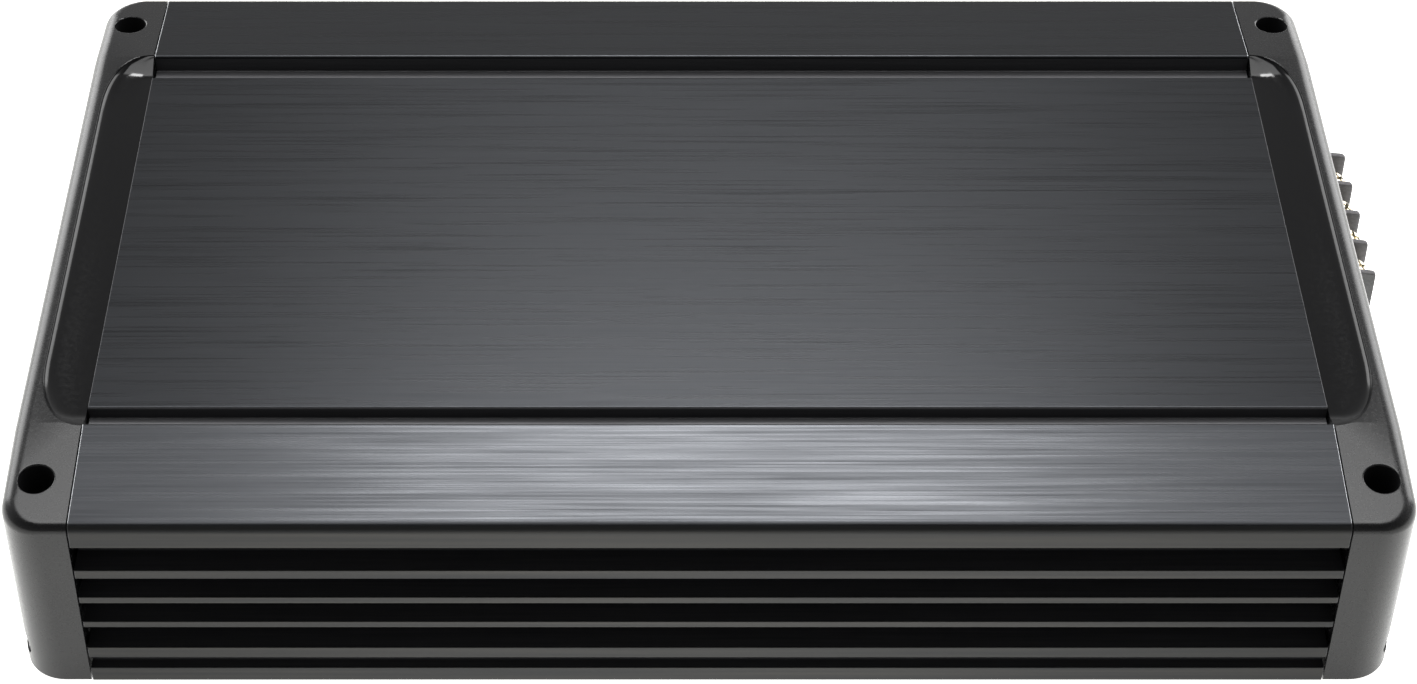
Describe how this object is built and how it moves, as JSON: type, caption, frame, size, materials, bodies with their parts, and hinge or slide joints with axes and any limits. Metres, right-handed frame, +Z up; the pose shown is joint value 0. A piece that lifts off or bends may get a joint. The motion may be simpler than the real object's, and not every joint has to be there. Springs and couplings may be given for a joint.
{
  "type": "car audio amplifier",
  "caption": "Flat brushed black car audio amplifier: finned extruded housing, moulded end caps, power screws, blade fuses, speaker socket, line jacks and controls.",
  "frame": {"origin": "middle of the underside, on the face the amplifier stands on", "axes": "+X along the housing towards the power end, +Y towards the back face, +Z up out of the brushed top"},
  "size_m": [0.3479, 0.21, 0.0565],
  "materials": {
    "anodised_aluminium": "brushed black anodised",
    "moulded_black_plastic": "semi-gloss moulded",
    "painted_steel": "black powder paint",
    "board_laminate": "solder mask",
    "black_screw_steel": "black zinc",
    "terminal_plastic": "moulded",
    "nickel_plate": "nickel plated",
    "black_plastic": "moulded",
    "fuse_plastic": "tinted, half clear",
    "blue_lens": "tinted, half clear",
    "red_lens": "tinted, half clear",
    "varnished_copper": "varnished wire",
    "capacitor_sleeve": "shrink sleeve",
    "bare_aluminium": "mill finish"
  },
  "bodies": {
    "chassis": {"heatsink_housing": "anodised_aluminium", "bottom_cover": "painted_steel", "end_cap_right": "moulded_black_plastic", "end_cap_left": "moulded_black_plastic", "end_panel_right": "painted_steel", "end_panel_left": "painted_steel", "main_circuit_board": "board_laminate", "bottom_screw_1": "black_screw_steel", "bottom_screw_2": "black_screw_steel", "bottom_screw_3": "black_screw_steel", "bottom_screw_4": "black_screw_steel", "end_cap_screw_right_front": "black_screw_steel", "end_cap_screw_left_front": "black_screw_steel", "end_cap_screw_right_back": "black_screw_steel", "end_cap_screw_left_back": "black_screw_steel", "power_terminal_block": "terminal_plastic", "fuse_holder": "black_plastic", "speaker_socket": "black_plastic", "speaker_pin_1": "nickel_plate", "speaker_pin_2": "nickel_plate", "speaker_pin_3": "nickel_plate", "speaker_pin_4": "nickel_plate", "speaker_pin_5": "nickel_plate", "speaker_pin_6": "nickel_plate", "speaker_pin_7": "nickel_plate", "speaker_pin_8": "nickel_plate", "input_jack_block": "black_plastic", "input_jack_1": "nickel_plate", "input_jack_2": "nickel_plate", "input_jack_3": "nickel_plate", "input_jack_4": "nickel_plate", "front_crossover_pot": "black_plastic", "front_gain_pot": "black_plastic", "rear_crossover_pot": "black_plastic", "rear_gain_pot": "black_plastic", "front_mode_switch": "black_plastic", "rear_mode_switch": "black_plastic", "power_led": "blue_lens", "protect_led": "red_lens", "power_transformer": "varnished_copper", "filter_capacitor_1": "capacitor_sleeve", "filter_capacitor_2": "capacitor_sleeve", "transistor_clamp_front": "bare_aluminium", "transistor_clamp_back": "bare_aluminium"},
    "power_clamp_1": {"power_clamp_1": "nickel_plate"},
    "power_screw_1": {"power_screw_1": "nickel_plate"},
    "power_clamp_2": {"power_clamp_2": "nickel_plate"},
    "power_screw_2": {"power_screw_2": "nickel_plate"},
    "power_clamp_3": {"power_clamp_3": "nickel_plate"},
    "power_screw_3": {"power_screw_3": "nickel_plate"},
    "power_clamp_4": {"power_clamp_4": "nickel_plate"},
    "power_screw_4": {"power_screw_4": "nickel_plate"},
    "fuse_1": {"fuse_1": "fuse_plastic"},
    "fuse_2": {"fuse_2": "fuse_plastic"},
    "front_crossover_knob": {"front_crossover_knob": "black_plastic"},
    "front_gain_knob": {"front_gain_knob": "black_plastic"},
    "rear_crossover_knob": {"rear_crossover_knob": "black_plastic"},
    "rear_gain_knob": {"rear_gain_knob": "black_plastic"},
    "front_mode_switch_lever": {"front_mode_switch_lever": "black_plastic"},
    "rear_mode_switch_lever": {"rear_mode_switch_lever": "black_plastic"}
  },
  "joints": [
    {"name": "power_clamp_1_lift", "type": "slide", "parent": "chassis", "child": "power_clamp_1", "axis": [0.5736, 0, 0.8192], "range_m": [0, 0.0021]},
    {"name": "power_screw_1_turn", "type": "hinge", "parent": "power_clamp_1", "child": "power_screw_1", "pos_m": [0.1716, 0.01052, 0.03126], "axis": [0.5736, 0, 0.8192], "range_deg": [0, 1080]},
    {"name": "power_clamp_2_lift", "type": "slide", "parent": "chassis", "child": "power_clamp_2", "axis": [0.5736, 0, 0.8192], "range_m": [0, 0.0021]},
    {"name": "power_screw_2_turn", "type": "hinge", "parent": "power_clamp_2", "child": "power_screw_2", "pos_m": [0.1716, 0.02278, 0.03126], "axis": [0.5736, 0, 0.8192], "range_deg": [0, 1080]},
    {"name": "power_clamp_3_lift", "type": "slide", "parent": "chassis", "child": "power_clamp_3", "axis": [0.5736, 0, 0.8192], "range_m": [0, 0.0021]},
    {"name": "power_screw_3_turn", "type": "hinge", "parent": "power_clamp_3", "child": "power_screw_3", "pos_m": [0.1716, 0.03503, 0.03126], "axis": [0.5736, 0, 0.8192], "range_deg": [0, 1080]},
    {"name": "power_clamp_4_lift", "type": "slide", "parent": "chassis", "child": "power_clamp_4", "axis": [0.5736, 0, 0.8192], "range_m": [0, 0.0021]},
    {"name": "power_screw_4_turn", "type": "hinge", "parent": "power_clamp_4", "child": "power_screw_4", "pos_m": [0.1716, 0.04727, 0.03126], "axis": [0.5736, 0, 0.8192], "range_deg": [0, 1080]},
    {"name": "fuse_1_pull", "type": "slide", "parent": "chassis", "child": "fuse_1", "axis": [1, 0, 0], "range_m": [0, 0.012]},
    {"name": "fuse_2_pull", "type": "slide", "parent": "chassis", "child": "fuse_2", "axis": [1, 0, 0], "range_m": [0, 0.012]},
    {"name": "front_crossover_turn", "type": "hinge", "parent": "chassis", "child": "front_crossover_knob", "pos_m": [-0.1673, -0.00948, 0.024], "axis": [1, 0, 0], "range_deg": [-150, 150]},
    {"name": "front_gain_turn", "type": "hinge", "parent": "chassis", "child": "front_gain_knob", "pos_m": [-0.1673, 0.0079, 0.024], "axis": [1, 0, 0], "range_deg": [-150, 150]},
    {"name": "rear_crossover_turn", "type": "hinge", "parent": "chassis", "child": "rear_crossover_knob", "pos_m": [-0.1673, 0.04424, 0.024], "axis": [1, 0, 0], "range_deg": [-150, 150]},
    {"name": "rear_gain_turn", "type": "hinge", "parent": "chassis", "child": "rear_gain_knob", "pos_m": [-0.1673, 0.06162, 0.024], "axis": [1, 0, 0], "range_deg": [-150, 150]},
    {"name": "front_mode_switch_slide", "type": "slide", "parent": "chassis", "child": "front_mode_switch_lever", "axis": [0, 1, 0], "range_m": [-0.002, 0.002]},
    {"name": "rear_mode_switch_slide", "type": "slide", "parent": "chassis", "child": "rear_mode_switch_lever", "axis": [0, 1, 0], "range_m": [-0.002, 0.002]}
  ],
  "couplings": [
    {"joint": "power_screw_1_turn", "follows": "power_clamp_1_lift", "rad_per_m": 8975.9},
    {"joint": "power_screw_2_turn", "follows": "power_clamp_2_lift", "rad_per_m": 8975.9},
    {"joint": "power_screw_3_turn", "follows": "power_clamp_3_lift", "rad_per_m": 8975.9},
    {"joint": "power_screw_4_turn", "follows": "power_clamp_4_lift", "rad_per_m": 8975.9}
  ]
}
